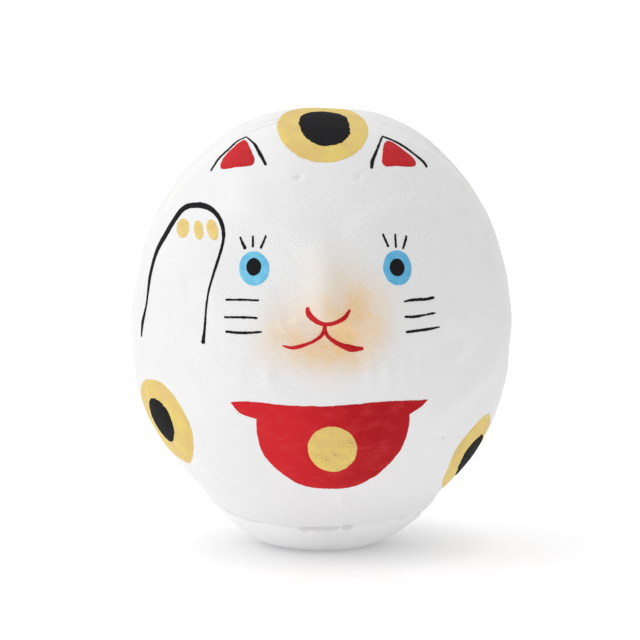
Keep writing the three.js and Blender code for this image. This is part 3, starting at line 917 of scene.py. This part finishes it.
def apricot_share(shader, at):
    """The airbrushed blush around the nose, with the speckle of fine spray."""
    total = 0.0
    for centre, radii, strength in APRICOT_PATCHES:
        offset = shader.vector("SUBTRACT", at, centre)
        scaled = shader.vector("DIVIDE", offset, radii)
        reach = shader.vector("LENGTH", scaled, (0, 0, 0))
        total = shader.math("ADD", total, shader.between(reach, 0, 1, strength, 0))
    speckle = shader.between(shader.noise(at, 0.35, 2), 0.3, 0.7, 0.75, 1.2)
    cloud = shader.between(shader.noise(at, 5, 2), 0.25, 0.75, 0.75, 1.15)
    uneven = shader.math("MULTIPLY", speckle, cloud)
    return shader.math("MULTIPLY", total, uneven, clamp=True)


def chalk_white():
    shader = Shader("chalk_white", roughness=0.7, specular=0.35)
    at = shader.place()
    grain = shader.noise(at, 0.3, 3)
    mottle = shader.between(shader.noise(at, 7, 4), 0.3, 0.7)
    wire = wire_height(shader)
    # painted shade: the pits of the screen's print are painted darker, for the shade in its hollows
    shaded_pits = shader.mix(wire, srgb(237, 237, 237), srgb(244, 244, 244))
    white = shader.mix(shader.math("MULTIPLY", mottle, 0.5), shaded_pits, srgb(241, 241, 241))
    apricot = shader.mix(shader.noise(at, 6, 2), srgb(241, 198, 143), srgb(246, 210, 156))
    blushed = shader.mix(apricot_share(shader, at), white, apricot)
    specks = shader.between(shader.noise(at, 0.9, 1), 0.78, 0.84)
    shader.colour(shader.mix(specks, blushed, srgb(214, 212, 209)))
    shader.roughness(shader.between(grain, 0.3, 0.7, 0.62, 0.8))
    shader.bumps((wire, 0.058), (grain, 0.006), (shader.noise(at, 2.2, 1), 0.05))
    return shader.material


def strip_white():
    shader = Shader("strip_white", roughness=0.72, specular=0.35)
    at = shader.place()
    fibres = shader.noise(shader.vector("MULTIPLY", at, (0.4, 2.5, 1)), 1.2, 4, 0.6)
    shader.colour(shader.mix(fibres, srgb(234, 233, 231), srgb(245, 245, 244)))
    shader.bumps((fibres, 0.08), (shader.noise(at, 0.3, 2), 0.02), (wire_height(shader), 0.015))
    return shader.material


def foot_white():
    shader = Shader("foot_white", roughness=0.6, specular=0.35)
    at = shader.place()
    smudge = shader.between(shader.noise(at, 8, 3, 0.5), 0.3, 0.8)
    white = shader.mix(smudge, srgb(247, 247, 247), srgb(242, 242, 242))
    flaked = shader.first(shader.attribute("brush"))
    edge = shader.math("SUBTRACT", flaked, shader.noise(at, 0.8, 3))
    share = shader.between(edge, -0.1, 0.12)
    shader.colour(shader.mix(share, white, srgb(228, 227, 227)))
    shader.roughness(shader.between(smudge, 0, 1, 0.5, 0.68))
    bare = shader.math("SUBTRACT", 1.0, share)
    shader.bumps((shader.noise(at, 1.6, 3), 0.04), (shader.noise(at, 0.25, 2), 0.012), (bare, 0.04))
    return shader.material


def seam_glue():
    """White paint over glue, and grey where that broke away: partly the glue's own grey, partly
    painted shade in the crack.
    """
    shader = Shader("seam_glue", roughness=0.6)
    at = shader.place()
    broken = shader.first(shader.attribute("brush"))
    share = shader.between(broken, 0.3, 0.8)
    glue = shader.mix(shader.noise(at, 0.7, 3), srgb(216, 215, 215), srgb(235, 234, 234))
    # the grey in the cracks is partly bare glue and partly painted shade
    shader.colour(shader.mix(share, srgb(238, 238, 238), glue))
    shader.bumps((shader.noise(at, 0.5, 3), 0.05))
    return shader.material


def raw_clay():
    shader = Shader("raw_clay", roughness=0.9, specular=0.2)
    at = shader.place()
    shader.colour(shader.mix(shader.noise(at, 3, 5), srgb(140, 108, 84), srgb(172, 138, 110)))
    shader.bumps((shader.noise(at, 1.5, 5), 0.25))
    return shader.material


def streaks(shader, width, stretch=(1, 1, 1)):
    """Brush streaks about width mm wide; a low stretch makes them long along that axis."""
    at = shader.vector("MULTIPLY", shader.attribute("brush"), stretch)
    return shader.noise(at, width, 4, 0.4)


def screen_streaks(shader, width):
    """Streaks that run along the print of the screen."""
    at = shader.vector("MULTIPLY", shader.attribute("screen"), (1, 0.3, 1))
    return shader.noise(at, width, 3, 0.3)


def gold_paint(name, scratched=0.0, streaky=0.0):
    """Gold with fine brush streaks; scratched shows the red under it, streaky the white."""
    shader = Shader(name, roughness=0.5, specular=0.3)
    shader.principled.inputs["Metallic"].default_value = 0.12
    at = shader.place()
    brushed = shader.between(screen_streaks(shader, 0.8), 0.3, 0.7)
    cloud = shader.between(shader.noise(at, 6, 3), 0.35, 0.65)
    share = shader.math("MULTIPLY_ADD", brushed, 0.35, shader.math("MULTIPLY", cloud, 0.65))
    gold = shader.mix(share, srgb(223, 191, 117), srgb(234, 209, 114))
    thin = shader.between(shader.noise(at, 0.5, 3), 0.64, 0.8, 0, 0.45)
    gold = shader.mix(thin, gold, srgb(243, 228, 176))
    if streaky:
        bare = shader.between(streaks(shader, 0.45, stretch=(1, 0.5, 1)), 0.58, 0.64, 0, streaky)
        gold = shader.mix(bare, gold, srgb(244, 236, 206))
    if scratched:
        lines = shader.noise(shader.vector("MULTIPLY", at, (0.5, 1, 1.6)), 1.1, 3, 1.2)
        close = shader.math("ABSOLUTE", shader.math("SUBTRACT", lines, 0.5))
        patch = shader.between(shader.noise(at, 2.5, 2), 0.5, 0.62)
        line = shader.between(close, 0.008, 0.018, scratched, 0)
        gold = shader.mix(shader.math("MULTIPLY", line, patch), gold, srgb(172, 72, 50))
    shader.colour(gold)
    shader.roughness(shader.between(brushed, 0, 1, 0.45, 0.62))
    shader.bumps((wire_height(shader), 0.05), (brushed, 0.012), (shader.noise(at, 0.3, 2), 0.02))
    return shader.material


def red_paint():
    """Red, brushed from a thin start on the left to a full end on the right, and darker towards the
    right: partly a fuller coat, partly painted shade.
    """
    shader = Shader("red_paint", roughness=0.55, specular=0.1)
    across = streaks(shader, 2.0, stretch=(0.5, 1, 1))
    along = shader.first(shader.attribute("brush"))
    # partly a fuller coat and partly painted shade: each red coat gets darker towards its right
    full = shader.between(along, -13, 13)
    deep_and_shaded = shader.mix(full, srgb(212, 32, 42), srgb(176, 6, 22))
    wire = wire_height(shader)
    thin = shader.between(across, 0.42, 0.75, 0, 0.34)
    thin = shader.math("ADD", thin, shader.math("MULTIPLY", wire, 0.18))
    shader.colour(shader.mix(thin, deep_and_shaded, srgb(216, 66, 68)))
    shader.roughness(shader.between(across, 0.3, 0.7, 0.45, 0.6))
    shader.bumps((wire, 0.05), (across, 0.02))
    return shader.material


def black_paint():
    shader = Shader("black_paint", roughness=0.75, specular=0.06)
    at = shader.place()
    cloud = shader.noise(at, 1.3, 4)
    shader.colour(shader.mix(cloud, srgb(24, 24, 26), srgb(36, 35, 37)))
    shader.roughness(shader.between(cloud, 0.3, 0.7, 0.65, 0.85))
    shader.bumps((wire_height(shader), 0.04), (shader.noise(at, 0.4, 2), 0.02))
    return shader.material


def blue_paint():
    """Light blue, painted darker on the right eye than on the left one, as painted shade."""
    shader = Shader("blue_paint", roughness=0.55, specular=0.25)
    at = shader.place()
    cloud = shader.between(shader.noise(at, 2.2, 3, 0.5), 0.3, 0.7)
    blue = shader.mix(cloud, srgb(104, 190, 228), srgb(126, 208, 240))
    # painted shade: the right eye's blue is painted darker
    fuller = shader.between(shader.first(at), 0, 20, 0, 0.55)
    shader.colour(shader.mix(fuller, blue, srgb(84, 168, 216)))
    shader.bumps((wire_height(shader), 0.04), (cloud, 0.015), (shader.noise(at, 0.3, 2), 0.02))
    return shader.material


# ---- the doll

SHELL_WHITE = chalk_white()
BELL_GOLD = gold_paint("bell_gold", scratched=0.8)
CLAW_GOLD = gold_paint("claw_gold", streaky=1.0)
PAINTS = {
    "gold_paint": gold_paint("gold_paint"),
    "red_paint": red_paint(),
    "black_paint": black_paint(),
    "blue_paint": blue_paint(),
}


def paint_for(node, slot):
    """The material of a painted node, or None for a node that isn't a coat of paint."""
    if node == "bell":
        return BELL_GOLD
    if node.startswith("paw_claw"):
        return CLAW_GOLD
    return PAINTS.get(slot)


def build_doll():
    half_shell("front_shell", True, SHELL_WHITE)
    half_shell("back_shell", False, SHELL_WHITE)
    seam_strip(strip_white())
    base_bowl(foot_white())
    glue_seam(seam_glue())
    clay = frame["nodes"]["clay_ballast"].data.materials
    clay.clear()
    clay.append(raw_clay())
    for number, part in enumerate(frame["record"]["subparts"]):
        node, slot = part["node"], part["material_slot"]
        paint = paint_for(node, slot)
        if paint is not None:
            coat(node, slot, paint, seed=FIRST_COAT_SEED + 2 * number)


# ---- floor, light and camera, in metres

CAMERA_DISTANCE = 0.8
CAMERA_ELEVATION = math.radians(7.26)
CAMERA_TARGET = Vector((0, 0, 0.055))
LENS, SENSOR = 177.9, 36
SHIFT_X, SHIFT_Y = -0.0023, 0.0103
SOFT_LIGHTS = [
    # name, direction it comes from, strength, angle across in degrees
    ("top_light", (-0.12, 0.06, 0.44), 1.36, 100),
    ("left_light", (-0.3, -0.04, 0.1), 0.86, 64),
    ("back_light", (0.12, 0.12, 0.04), 0.41, 80),
]
ROOM_LIGHT = 0.48
BACKDROP = 1.2
FLOOR_GLOW = 0.4
GLOW_LOST = 0.22  # of it, right beside the doll: a painted contact shadow
GLOW_SHADE = 0.02  # how far from the doll the glow is dimmed, as a painted contact shadow
FLOOR_HALF_SIDE = 3.0
FLOOR_DROP = 0.00002  # below the foot's underside, so that the two don't share a plane


def paper_floor():
    """A wide flat sheet of white paper that glows like a light table, a painted light, and glows
    less right beside the doll, a painted contact shadow.
    """
    half = FLOOR_HALF_SIDE
    corners = [(-half, -half, 0), (half, -half, 0), (half, half, 0), (-half, half, 0)]
    mesh = bpy.data.meshes.new("floor")
    mesh.from_pydata(corners, [], [(0, 1, 2, 3)])
    floor = bpy.data.objects.new("floor", mesh)
    bpy.context.scene.collection.objects.link(floor)
    floor.location.z = -FLOOR_DROP
    shader = Shader("floor_paper", roughness=0.9, specular=0.0)
    at = shader.place()
    shader.colour(shader.mix(shader.noise(at, 30, 2), srgb(215, 215, 216), srgb(217, 217, 218)))
    # painted contact shadow: the floor's glow is dimmed where the doll hides it
    open_share = shader.node("AmbientOcclusion", {"Distance": GLOW_SHADE}).outputs["AO"]
    glow_with_painted_shadow = shader.math("MULTIPLY_ADD", open_share, GLOW_LOST, FLOOR_GLOW - GLOW_LOST)
    shader.feed(shader.principled.inputs["Emission Color"], (1, 1, 1, 1))
    shader.feed(shader.principled.inputs["Emission Strength"], glow_with_painted_shadow)
    mesh.materials.append(shader.material)


def soft_lights():
    """Wide soft lights: one above the doll, a low one on the left and one behind the right."""
    for name, source, strength, across in SOFT_LIGHTS:
        data = bpy.data.lights.new(name, "SUN")
        data.energy = strength
        data.angle = math.radians(across)
        light = bpy.data.objects.new(name, data)
        bpy.context.scene.collection.objects.link(light)
        light.rotation_euler = Vector(source).to_track_quat("Z", "Y").to_euler()


def white_room():
    """Even light from all round, in front of a pure white background."""
    world = bpy.data.worlds.new("studio")
    world.use_nodes = True
    tree = world.node_tree
    background = tree.nodes["Background"]
    background.inputs["Color"].default_value = (1, 1, 1, 1)
    path = tree.nodes.new("ShaderNodeLightPath")
    strength = tree.nodes.new("ShaderNodeMapRange")
    strength.inputs["To Min"].default_value = ROOM_LIGHT
    strength.inputs["To Max"].default_value = BACKDROP
    tree.links.new(path.outputs["Is Camera Ray"], strength.inputs["Value"])
    tree.links.new(strength.outputs["Result"], background.inputs["Strength"])
    bpy.context.scene.world = world


def studio():
    paper_floor()
    soft_lights()
    white_room()
    bpy.context.scene.view_settings.view_transform = "Standard"


def camera():
    data = bpy.data.cameras.new("camera")
    data.lens = LENS
    data.sensor_width = SENSOR
    data.shift_x = SHIFT_X
    data.shift_y = SHIFT_Y
    data.clip_start, data.clip_end = 0.05, 20
    eye = bpy.data.objects.new("camera", data)
    bpy.context.scene.collection.objects.link(eye)
    back = Vector((0, -math.cos(CAMERA_ELEVATION), math.sin(CAMERA_ELEVATION)))
    eye.location = CAMERA_TARGET + back * CAMERA_DISTANCE
    eye.rotation_euler = (-back).to_track_quat("-Z", "Y").to_euler()
    bpy.context.scene.camera = eye


build_doll()
studio()
camera()
